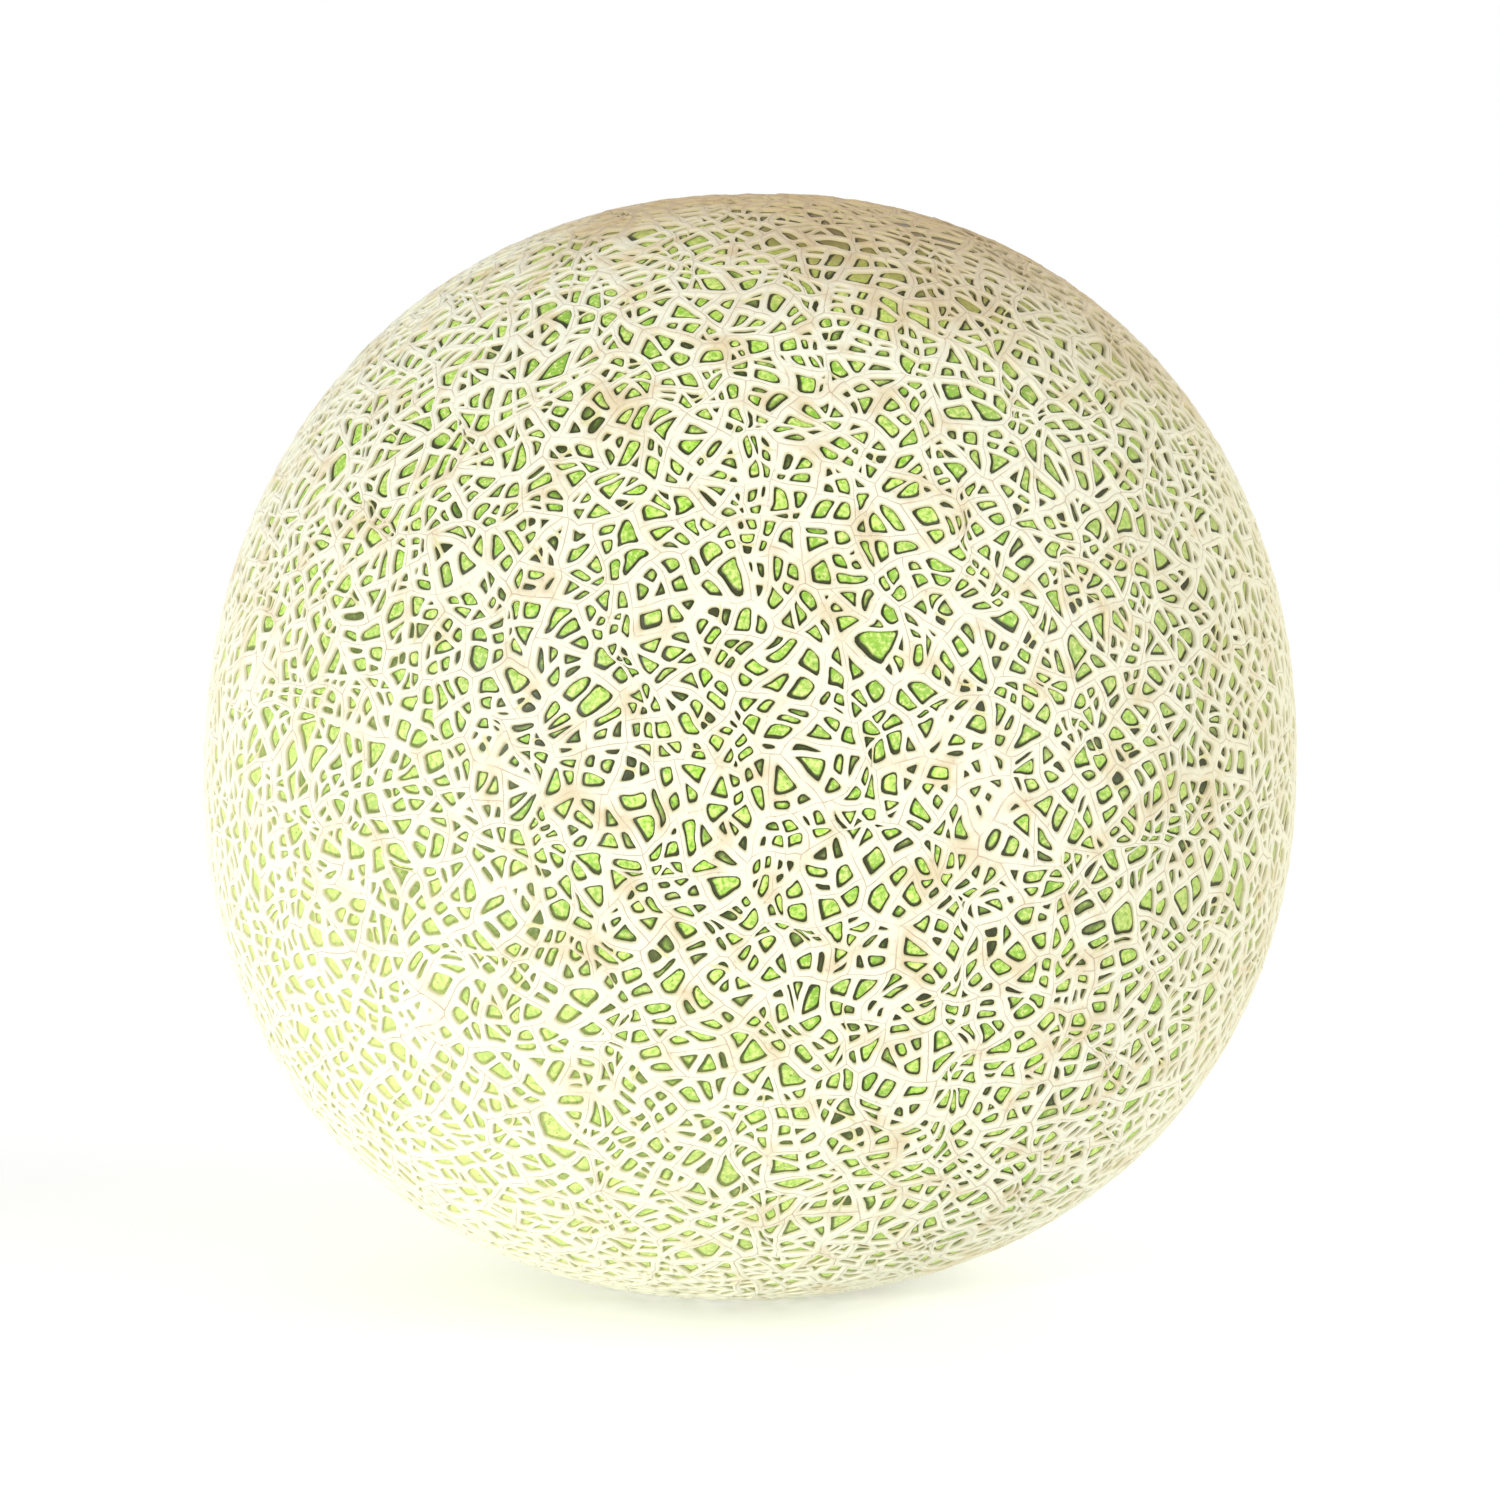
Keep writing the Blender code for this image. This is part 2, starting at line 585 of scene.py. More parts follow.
@dataclass
class Rind:
    """The melon's skin and the net of cork on it, as two meshes that fit together.

    Attributes:
        shape: the body that they cover.
        cracks: where the net runs.
        net_height: from the skin to the highest crest.
        crest_gap: between the highest crest and the CAD surface.
        tuck: how far the feet of the net reach under the skin.
        dome: how far the skin bulges in a wide window.
        scar_radius: no cell with its middle this near the stem axis is made.
        ragged: how unevenly wide a ridge is along its way.
        steps: how far from the crack line to the foot each ring of a ridge is.
        rim: width of the painted shade along the edge of a window.
        shade_lean: how much wider that painted shade is on the lower and left sides, where the ridges
            would shade the window from the lamp on the lower left.
    """

    shape: MelonShape
    cracks: CrackMap
    net_height: float = 0.00060
    crest_gap: float = 0.00006
    tuck: float = 0.00010
    dome: float = 0.00014
    scar_radius: float = 0.0046
    ragged: float = 0.13
    steps: tuple[float, ...] = (0.17, 0.55, 0.84, 1.0)
    rim: float = 0.00021
    shade_lean: float = 0.92
    net: Patchwork = field(init=False)
    skin: Patchwork = field(init=False)
    crest_line: Array = field(init=False)
    under: Array = field(init=False)

    def build(self) -> None:
        """Makes the points and faces of both meshes."""
        self.net = Patchwork(self._skin_depth)
        self.skin = Patchwork(self._skin_depth)
        cracks = self.cracks
        floor = np.full(len(cracks.directions), self._skin_depth + 2 * self.tuck)
        crest = cracks.heights - cracks.grooves
        line = (cracks.grooves > 0.1).astype(float)
        self.crest_line = self.net.add(
            cracks.directions, self._depth(crest), across=0.0, crack=line, age=cracks.heights
        )
        self.under = self.skin.add(cracks.directions, floor, inset=0.0, tint=0.5)
        for group in cracks.groups:
            self._cover(group)

    @property
    def _skin_depth(self) -> float:
        """How deep the skin lies under the CAD surface."""
        return self.crest_gap + self.net_height

    def _depth(self, height: Array) -> Array:
        """Depth under the CAD surface of cork this high, as a share of the highest crest."""
        return self.crest_gap + self.net_height * (1 - height)

    def _patchiness(self, directions: Array) -> Array:
        """How much wider the ridges are: they run together in a few patches and underneath."""
        places = directions * self.shape.mean_radius
        patch = smooth_step(0.75, 1.20, Ripples(0.022, 31).at(places))
        drift = Ripples(0.011, 32).at(places)
        top = smooth_step(0.75, 0.97, directions[:, 2])
        blossom = smooth_step(-0.996, -0.9995, directions[:, 2])
        return (1 + 0.12 * drift - 0.26 * top) * (1 + 0.7 * patch + 3 * blossom)

    def _cover(self, group: Columns) -> None:
        """Builds the ridges and the window of each cell in a group.

        Args:
            group: the cells, which all have the same number of outline points.
        """
        corners = self.cracks.directions[group.points]
        middle = unit(corners.mean(1))
        keep = np.hypot(middle[:, 0], middle[:, 1]) * self.shape.mean_radius > self.scar_radius
        keep |= middle[:, 2] < 0
        points, ages, cells = group.points[keep], group.ages[keep], group.cells[keep]
        if not len(points):
            return
        plane = CellPlane.through(corners[keep], middle[keep], self.cracks.radius)
        widths = np.array([RIDGES[age].half_width for age in Age])[ages]
        widths = widths * self._patchiness(middle[keep])[:, None]
        places = self.cracks.directions[points] * self.shape.mean_radius
        widths *= 1 + self.ragged * Ripples(0.0019, 33).at(places.reshape(-1, 3)).reshape(widths.shape)
        heights = np.array([RIDGES[age].height for age in Age])[ages]
        clear = plane.settle(widths)
        is_open = clear > 1.14
        full = np.where(is_open, 1.0, np.minimum(1.0, 0.92 * clear))
        outer = self.crest_line[points]
        for step in self.steps:
            share = np.minimum(step, step * full)[:, None]
            ring, nearest = plane.ring(widths * share)
            if step > 0.8:
                ring = plane.rounded(ring, 1)
            tall = np.take_along_axis(heights, nearest, axis=1)
            tall = (np.roll(tall, 1, 1) + 2 * tall + np.roll(tall, -1, 1)) / 4
            height = tall * np.sqrt(np.clip(1 - share**3.2, 0, 1))
            height = np.where(share >= 0.999, -self.tuck / self.net_height, height)
            inner = self.net.add(
                plane.directions(ring), self._depth(height), across=share, crack=0.0, age=tall
            )
            self.net.band(outer, inner)
            outer = inner
        closed = ~is_open
        if closed.any():
            height = heights.mean(1)[closed] * np.sqrt(np.clip(1 - clear[closed] ** 3.2, 0.05, 1))
            top = self.net.add(
                plane.directions(plane.middle[:, None])[closed, 0],
                self._depth(height),
                across=np.minimum(clear[closed], 1.0),
                crack=0.0,
                age=heights.mean(1)[closed],
            )
            self.net.fan(outer[closed], top)
        tints = np.random.default_rng(self.cracks.seed + 1).random(int(cells.max()) + 1)
        self._fill_windows(plane, points, widths, clear, tints[cells][:, None])

    def _fill_windows(
        self, plane: "CellPlane", points: Array, widths: Array, clear: Array, tint: Array
    ) -> None:
        """Lays the skin in each cell, with painted shade at its edge and with a slight bulge in its
        window.

        Args:
            plane: the cells' outlines in their own planes.
            points: numbers of the outline points.
            widths: of the ridges round the cells.
            clear: how far each middle is from the ridges, in ridge widths.
            tint: a random number for each cell.
        """
        room = np.clip(plane.room(widths), 0.00003, None)[:, None]
        # Painted shade: the dark edge is widened on the lower and left sides of each window, where the
        # ridges would shade it from the lamp on the lower left.
        shade_widening = 1 + self.shade_lean * (plane.inward @ np.array([0.55, 0.83]))
        band = self.rim + 0.00018
        rings = []
        for inset, share in ((0.0, 0.0), (self.rim, 0.45), (band, 0.75)):
            wanted = widths * (0.90 if share == 0 else 1.0) + np.minimum(inset * shade_widening, share * room)
            ring, _ = plane.ring(np.minimum(wanted, widths * (0.95 * clear)[:, None]))
            rings.append((plane.rounded(ring, 1), np.minimum(inset, share * room)))
        middle = plane.middle[:, None]
        rings.append((middle + (rings[-1][0] - middle) * 0.5, (rings[-1][1] + room) / 2))
        rings.append((middle, room))
        levels = [self.under[points]]
        for places, inset in rings:
            mark = np.interp(inset, [0, self.rim, band, 0.0008], [0, 0.35, 0.70, 1.0])
            mark = np.broadcast_to(mark, places.shape[:2])
            depth = self._skin_depth - self.dome * mark
            levels.append(self.skin.add(plane.directions(places), depth, inset=mark, tint=tint))
        for outer, inner in zip(levels[:-2], levels[1:-1]):
            self.skin.band(outer, inner)
        self.skin.fan(levels[-2], levels[-1][:, 0])


@dataclass
class CellPlane:
    """Cell outlines, each laid flat in the plane that touches the ball in its middle.

    Attributes:
        normal: of each plane.
        east: one direction in each plane.
        north: the other.
        radius: of the ball.
        outline: the outline points in the plane.
        inward: for each side, the direction into the cell.
        middle: the point that the rings close in on.
    """

    normal: Array
    east: Array
    north: Array
    radius: float
    outline: Array
    inward: Array
    middle: Array

    @classmethod
    def through(cls, corners: Array, middle: Array, radius: float) -> "CellPlane":
        """Lays outlines flat.

        Args:
            corners: unit directions of the outline points, one row of them for each cell.
            middle: a direction inside each cell.
            radius: of the ball.

        Returns:
            The planes.
        """
        helper = np.where(np.abs(middle[:, 2:]) < 0.9, [[0.0, 0.0, 1.0]], [[1.0, 0.0, 0.0]])
        east = unit(np.cross(helper, middle))
        north = np.cross(middle, east)
        scale = radius / np.einsum("cpk,ck->cp", corners, middle)
        x = np.einsum("cpk,ck->cp", corners, east) * scale
        y = np.einsum("cpk,ck->cp", corners, north) * scale
        outline = np.stack([x, y], axis=-1)
        side = np.roll(outline, -1, axis=1) - outline
        length = np.maximum(np.linalg.norm(side, axis=-1, keepdims=True), 1e-9)
        inward = np.stack([-side[..., 1], side[..., 0]], axis=-1) / length
        return cls(middle, east, north, radius, outline, inward, outline.mean(1))

    def _inside(self, places: Array) -> Array:
        """How far each place is from each side of its cell, as cells x places x sides."""
        sides = np.einsum("cik,cik->ci", self.inward, self.outline)
        return np.einsum("cpk,cik->cpi", places, self.inward) - sides[:, None]

    def settle(self, widths: Array) -> Array:
        """Moves each middle to where the ridges leave most room.

        Args:
            widths: of the ridge along each side.

        Returns:
            The distance of each middle from the nearest crack line, in ridge widths.
        """
        turns = np.arange(12) * math.tau / 12
        star = np.stack([np.cos(turns), np.sin(turns)], axis=1)
        star = np.concatenate([[[0.0, 0.0]], star * 0.5, star])
        spread = np.ptp(self.outline, axis=1).max(1) / 2
        for _ in range(6):
            places = self.middle[:, None] + star * spread[:, None, None]
            room = (self._inside(places) / widths[:, None]).min(2)
            best = room.argmax(1)
            self.middle = places[np.arange(len(places)), best]
            spread = spread * 0.5
        return room.max(1)

    def room(self, widths: Array) -> Array:
        """The distance of each middle from the nearest foot of a ridge."""
        return (self._inside(self.middle[:, None])[:, 0] - widths).min(1)

    def ring(self, insets: Array) -> tuple[Array, Array]:
        """Draws a line inside each outline, at its own distance from each side.

        Args:
            insets: that distance for each side.

        Returns:
            One place for each outline point, and the number of the side that it runs along.
        """
        start = self._inside(self.middle[:, None])[:, 0]
        end = self._inside(self.outline)
        fall = start[:, None] - end
        share = np.where(fall > 1e-7, (start - insets)[:, None] / np.maximum(fall, 1e-7), 9.0)
        nearest = share.argmin(2)
        share = np.clip(share.min(2), 0.04, 0.99)[..., None]
        middle = self.middle[:, None]
        return middle + (self.outline - middle) * share, nearest

    def rounded(self, ring: Array, passes: int) -> Array:
        """Softens the corners of a ring."""
        for _ in range(passes):
            ring = 0.25 * np.roll(ring, 1, 1) + 0.5 * ring + 0.25 * np.roll(ring, -1, 1)
        return ring

    def directions(self, places: Array) -> Array:
        """The unit directions of places in the planes."""
        x, y = places[..., :1] / self.radius, places[..., 1:] / self.radius
        return unit(self.normal[:, None] + self.east[:, None] * x + self.north[:, None] * y)


@dataclass(frozen=True)
class Wander:
    """How cracks stray from straight lines, and how cork swells and sinks along them.

    Attributes:
        radius: of the ball that the directions stand for.
        strays: wavelength, distance and seed of each way that the cracks stray.
    """

    radius: float
    strays: tuple[tuple[float, float, int], ...] = (
        (0.0150, 0.00120, 101),
        (0.0060, 0.00042, 104),
        (0.0021, 0.00011, 107),
    )

    def stray(self, directions: Array) -> Array:
        """Moves directions sideways, the same way for all that start at one place."""
        places = directions * self.radius
        moved = places.copy()
        for wavelength, distance, seed in self.strays:
            for axis in range(3):
                moved[:, axis] += distance * Ripples(wavelength, seed + axis).at(places)
        return unit(moved)

    def swell(self, directions: Array) -> Array:
        """How much higher or lower the cork is at each direction, as a share."""
        places = directions * self.radius
        return 0.10 * Ripples(0.0034, 111).at(places) + 0.06 * Ripples(0.0013, 112).at(places)


class BakeMap:
    """The map that a piece's colours are baked through: the ball as an unfolded octahedron."""

    NAME = "OFBake"

    @staticmethod
    def spread(directions: Array, side: Array) -> Array:
        """Lays directions out in a unit square, with equal room for equal areas.

        Args:
            directions: unit rows.
            side: signs of x and y for each row, which keep a face on one side of a seam.

        Returns:
            Two map values for each row.
        """
        x, y = np.maximum(directions[:, :2] * side, 0).T
        z = directions[:, 2]
        reach = np.sqrt(np.maximum(1 - np.abs(z), 0))
        turn = np.arctan2(y, np.maximum(x, 1e-12)) * 2 / math.pi * reach
        flat = np.stack([reach - turn, turn], axis=1)
        flat = np.where(z[:, None] < 0, 1 - flat[:, ::-1], flat)
        return (flat * side + 1) / 2

    @classmethod
    def add(cls, mesh: bpy.types.Mesh, directions: Array, corners: list[Array]) -> None:
        """Adds the map to a mesh.

        Args:
            mesh: the mesh, with its faces in the order of corners.
            directions: of its points.
            corners: point numbers of its faces, in blocks of the same number of corners.
        """
        parts = []
        for block in corners:
            side = np.where(directions[block].mean(1)[:, :2] < 0, -1.0, 1.0)
            side = np.repeat(side, block.shape[1], axis=0)
            parts.append(cls.spread(directions[block.ravel()], side))
        layer = mesh.uv_layers.new(name=cls.NAME)
        layer.uv.foreach_set("vector", np.concatenate(parts).astype(np.float32).ravel())


def make_mesh(name: str, points: Array, blocks: list[Array]) -> bpy.types.Object:
    """Makes a smooth mesh object from arrays.

    Args:
        name: of the object and its mesh.
        points: places, one row each.
        blocks: point numbers of the faces, in blocks of the same number of corners.

    Returns:
        The object, linked into the scene.
    """
    mesh = bpy.data.meshes.new(name)
    starts = []
    total = 0
    for block in blocks:
        starts.append(total + np.arange(len(block)) * block.shape[1])
        total += block.size
    mesh.vertices.add(len(points))
    mesh.vertices.foreach_set("co", points.astype(np.float32).ravel())
    mesh.loops.add(total)
    corners = np.concatenate([block.ravel() for block in blocks])
    mesh.loops.foreach_set("vertex_index", corners.astype(np.int32))
    mesh.polygons.add(sum(len(block) for block in blocks))
    mesh.polygons.foreach_set("loop_start", np.concatenate(starts).astype(np.int32))
    mesh.update(calc_edges=True)
    mesh.shade_smooth()
    thing = bpy.data.objects.new(name, mesh)
    bpy.context.scene.collection.objects.link(thing)
    return thing


def finish_patchwork(
    name: str, work: Patchwork, shape: MelonShape, wander: Wander, lively: bool
) -> bpy.types.Object:
    """Turns gathered cells into a mesh object on the melon.

    Args:
        name: of the object.
        work: the cells.
        shape: the body that they lie on.
        wander: how their lines stray.
        lively: whether the points also swell and sink as cork does.

    Returns:
        The object, with its marks as attributes and with its bake map.
    """
    directions = wander.stray(np.concatenate(work.directions))
    depths = np.concatenate(work.depths)
    if lively:
        height = np.maximum(work.ground - depths, 0)
        depths = depths + height * np.clip(0.12 - wander.swell(directions), 0, 0.5)
    points = shape.below(directions, depths)
    points[:, 2] = np.maximum(points[:, 2], shape.low[2])
    quads = np.concatenate(work.quads)
    triangles = np.concatenate(work.triangles) if work.triangles else np.zeros((0, 3), int)
    used = np.zeros(len(points), bool)
    used[quads] = True
    used[triangles] = True
    number = np.cumsum(used) - 1
    blocks = [number[quads], number[triangles]]
    thing = make_mesh(name, points[used], blocks)
    for mark, parts in work.marks.items():
        layer = thing.data.attributes.new(mark, "FLOAT", "POINT")
        layer.data.foreach_set("value", np.concatenate(parts)[used].astype(np.float32))
    BakeMap.add(thing.data, directions[used], blocks)
    return thing


@dataclass
class NodeTray:
    """Short ways to add nodes to a material or to a group.

    Attributes:
        tree: that the nodes go into.
    """

    tree: bpy.types.NodeTree

    def new(self, kind: str, **settings: object) -> bpy.types.Node:
        """Adds a node and sets its properties."""
        node = self.tree.nodes.new(kind)
        for name, value in settings.items():
            setattr(node, name, value)
        return node

    def feed(self, socket: Socket, value: object) -> None:
        """Links a socket into an input, or sets the input to a plain value."""
        if isinstance(value, bpy.types.NodeSocket):
            self.tree.links.new(value, socket)
        else:
            socket.default_value = value

    def sum(self, operation: str, *values: object, clamp: bool = False) -> Socket:
        """Adds a Math node.

        Args:
            operation: what it does, such as MULTIPLY.
            values: for its inputs, sockets or numbers.
            clamp: whether the result stays between 0 and 1.

        Returns:
            Its output.
        """
        node = self.new("ShaderNodeMath", operation=operation, use_clamp=clamp)
        for socket, value in zip(node.inputs, values):
            self.feed(socket, value)
        return node.outputs[0]

    def step(self, value: Socket, low: float, high: float) -> Socket:
        """Rises softly from 0 to 1 as value goes from low to high."""
        node = self.new("ShaderNodeMapRange", interpolation_type="SMOOTHSTEP")
        for name, number in (("Value", value), ("From Min", low), ("From Max", high)):
            self.feed(node.inputs[name], number)
        return node.outputs[0]

    def mix(self, share: object, first: object, second: object) -> Socket:
        """Mixes two colours.

        Args:
            share: of the second, a socket or a number.
            first: colour or socket.
            second: colour or socket.

        Returns:
            The mixed colour.
        """
        node = self.new("ShaderNodeMix", data_type="RGBA")
        self.feed(node.inputs["Factor"], share)
        self.feed(node.inputs["A"], first)
        self.feed(node.inputs["B"], second)
        return node.outputs["Result"]

    def mark(self, name: str) -> Socket:
        """Reads a number that the mesh holds at each point."""
        return self.new("ShaderNodeAttribute", attribute_name=name).outputs["Fac"]

    def places(self) -> Socket:
        """The place on the melon, in metres."""
        return self.new("ShaderNodeTexCoord").outputs["Object"]

    def noise(self, size: float, detail: float = 2.0, rough: float = 0.5) -> Socket:
        """Reads noise with lumps of about this size, in metres."""
        node = self.new("ShaderNodeTexNoise")
        self.feed(node.inputs["Vector"], self.places())
        self.feed(node.inputs["Scale"], 1 / size)
        self.feed(node.inputs["Detail"], detail)
        self.feed(node.inputs["Roughness"], rough)
        return node.outputs["Fac"]

    def bump(self, height: Socket, distance: float, strength: float = 1.0) -> Socket:
        """Turns a height into a normal, where 1 stands out by distance."""
        node = self.new("ShaderNodeBump")
        self.feed(node.inputs["Height"], height)
        node.inputs["Distance"].default_value = distance
        node.inputs["Strength"].default_value = strength
        return node.outputs["Normal"]

    def effect(self, group: bpy.types.NodeTree, **values: object) -> bpy.types.NodeSocketStandard:
        """Places a node group and sets its inputs.

        Args:
            group: the group.
            values: for its inputs, by name with _ for a space.

        Returns:
            The group's outputs.
        """
        node = self.new("ShaderNodeGroup", node_tree=group)
        for name, value in values.items():
            self.feed(node.inputs[name.replace("_", " ")], value)
        return node.outputs


def make_group(name: str, inputs: dict[str, float], outputs: list[str]) -> bpy.types.NodeTree:
    """Makes an empty shader node group with its sockets.

    Args:
        name: of the group.
        inputs: names and default values of its number inputs.
        outputs: names of its number outputs.

    Returns:
        The group, with its input and output nodes named In and Out.
    """
    group = bpy.data.node_groups.new(name, "ShaderNodeTree")
    for label, value in inputs.items():
        socket = group.interface.new_socket(label, in_out="INPUT", socket_type="NodeSocketFloat")
        socket.default_value = value
    for label in outputs:
        group.interface.new_socket(label, in_out="OUTPUT", socket_type="NodeSocketFloat")
    group.nodes.new("NodeGroupInput").name = "In"
    group.nodes.new("NodeGroupOutput").name = "Out"
    return group


@dataclass(frozen=True)
class RipeningAndLightZones:
    """Where the rind's colour changes with the light as well as with ripening, as one group that all
    finishes share: a browner top, partly the tan of the stem end and partly painted shade; a greyer right
    side, partly own colour and partly painted shade; and a paler lower left, painted light on the lit
    side.

    Attributes:
        centre: of the melon.
        radius: of the melon.
    """

    centre: tuple[float, float, float]
    radius: float

    def group(self) -> bpy.types.NodeTree:
        """Builds the group, with three masks: the browner top, the greyer right side and the paler lit
        lower left.
        """
        group = make_group("ripening_and_light_zones", {"Raggedness": 0.3}, ["Tanned", "Olive", "LitSide"])
        tray = NodeTray(group)
        ragged = group.nodes["In"].outputs["Raggedness"]
        out = group.nodes["Out"].inputs
        shift = tray.new("ShaderNodeVectorMath", operation="SUBTRACT")
        tray.feed(shift.inputs[0], tray.places())
        shift.inputs[1].default_value = self.centre
        wobble = tray.sum("SUBTRACT", tray.noise(0.030, 3.0), 0.5)
        wobble = tray.sum("MULTIPLY", wobble, ragged)
        # The top mask is partly the stem end's tan and partly painted shade, the right one partly painted
        # shade, the lower-left one painted light.
        sides = {
            "Tanned": ((0.20, 0.05, 1.0), 0.66, 1.00),
            "Olive": ((0.95, 0.10, 0.30), 0.25, 0.95),
            "LitSide": ((-0.75, -0.10, -0.66), 0.20, 1.00),
        }
        for name, (heading, low, high) in sides.items():
            facing = tray.new("ShaderNodeVectorMath", operation="DOT_PRODUCT")
            tray.feed(facing.inputs[0], shift.outputs[0])
            facing.inputs[1].default_value = Vector(heading).normalized() / self.radius
            tray.feed(out[name], tray.step(tray.sum("ADD", facing.outputs["Value"], wobble), low, high))
        return group


class Grain:
    """The fine unevenness of cork and skin, as one group that all finishes share."""

    @staticmethod
    def group() -> bpy.types.NodeTree:
        """Builds the group, with a Height and a mask of small dark Specks."""
        group = make_group("rind_grain", {"Lump Size": 0.0008, "Speck Size": 0.0011}, ["Height", "Specks"])
        tray = NodeTray(group)
        given = group.nodes["In"].outputs
        out = group.nodes["Out"].inputs
        lumps = tray.new("ShaderNodeTexNoise")
        tray.feed(lumps.inputs["Vector"], tray.places())
        tray.feed(lumps.inputs["Scale"], tray.sum("DIVIDE", 1.0, given["Lump Size"]))
        lumps.inputs["Detail"].default_value = 4.0
        lumps.inputs["Roughness"].default_value = 0.62
        tray.feed(out["Height"], lumps.outputs["Fac"])
        specks = tray.new("ShaderNodeTexVoronoi")
        tray.feed(specks.inputs["Vector"], tray.places())
        tray.feed(specks.inputs["Scale"], tray.sum("DIVIDE", 1.0, given["Speck Size"]))
        near = tray.sum("SUBTRACT", 1.0, tray.step(specks.outputs["Distance"], 0.08, 0.26))
        rare = tray.step(tray.noise(0.0030, 1.0), 0.52, 0.60)
        tray.feed(out["Specks"], tray.sum("MULTIPLY", near, rare))
        return group


@dataclass(frozen=True)
class Finish:
    """What the finishes of the melon have in common.

    Attributes:
        zones: the shared group of zones of ripening and of painted light and shade.
        grain: the shared group of fine unevenness.
    """

    zones: bpy.types.NodeTree
    grain: bpy.types.NodeTree

    def start(self, name: str) -> tuple[bpy.types.Material, NodeTray, bpy.types.NodeInputs]:
        """Makes a material.

        Args:
            name: of the material.

        Returns:
            The material, a tray for its nodes, and the inputs of its Principled BSDF.
        """
        material = bpy.data.materials.new(name)
        material.use_nodes = True
        shader = material.node_tree.nodes["Principled BSDF"]
        return material, NodeTray(material.node_tree), shader.inputs


@dataclass(frozen=True)
class CorkFinish(Finish):
    """Dry cork of the net: cream crests, a tan line where the skin cracked, darker feet, and painted light
    and shade: paler on the lower left, greyer on the right, darker tan on top.
    """

    crest: tuple = linear(226, 225, 205)
    weathered: tuple = linear(212, 198, 164)
    line: tuple = linear(172, 142, 112)
    foot: tuple = linear(196, 188, 138)
    young: tuple = linear(206, 200, 132)
    # Zone colours: the top's tan is partly the real tan of the stem end and partly painted shade; the
    # greyer cream is partly painted shade on the right side; the pale cream is painted light on the lower
    # left.
    tanned: tuple = linear(180, 150, 106)
    olive: tuple = linear(214, 209, 176)
    litside: tuple = linear(240, 241, 222)

    def material(self) -> bpy.types.Material:
        """Builds the material."""
        material, tray, shader = self.start("cork_net")
        zones = tray.effect(self.zones, Raggedness=0.45)
        grain = tray.effect(self.grain, Lump_Size=0.0007, Speck_Size=0.0012)
        across, crack, age = (tray.mark(name) for name in ("across", "crack", "age"))
        colour = tray.mix(tray.step(tray.noise(0.006, 4.0), 0.45, 0.75), self.crest, self.weathered)
        # Painted light and shade over the cork's own colour: paler on the lit lower left, greyer on the
        # right, darker tan on top.
        colour = tray.mix(tray.sum("MULTIPLY", zones["LitSide"], 0.70), colour, self.litside)
        colour = tray.mix(tray.sum("MULTIPLY", zones["Olive"], 0.55), colour, self.olive)
        colour = tray.mix(tray.sum("MULTIPLY", zones["Tanned"], 0.75), colour, self.tanned)
        colour = tray.mix(tray.sum("MULTIPLY", tray.step(age, 0.75, 0.45), 0.6), colour, self.young)
        low = tray.sum("MULTIPLY", tray.step(across, 0.70, 1.0), 0.75)
        colour = tray.mix(low, colour, self.foot)
        line = tray.sum("SUBTRACT", 1.0, tray.step(across, 0.02, 0.15))
        line = tray.sum("MULTIPLY", line, crack)
        line = tray.sum("MULTIPLY", line, tray.step(tray.noise(0.004, 2.0), 0.30, 0.60))
        colour = tray.mix(tray.sum("MULTIPLY", line, 0.80), colour, self.line)
        colour = tray.mix(tray.sum("MULTIPLY", grain["Specks"], 0.35), colour, self.line)
        tray.feed(shader["Base Color"], colour)
        tray.feed(shader["Roughness"], tray.sum("MULTIPLY_ADD", grain["Height"], 0.25, 0.70))
        shader["Specular IOR Level"].default_value = 0.25
        tray.feed(shader["Normal"], tray.bump(grain["Height"], 0.00012, 0.9))
        return material


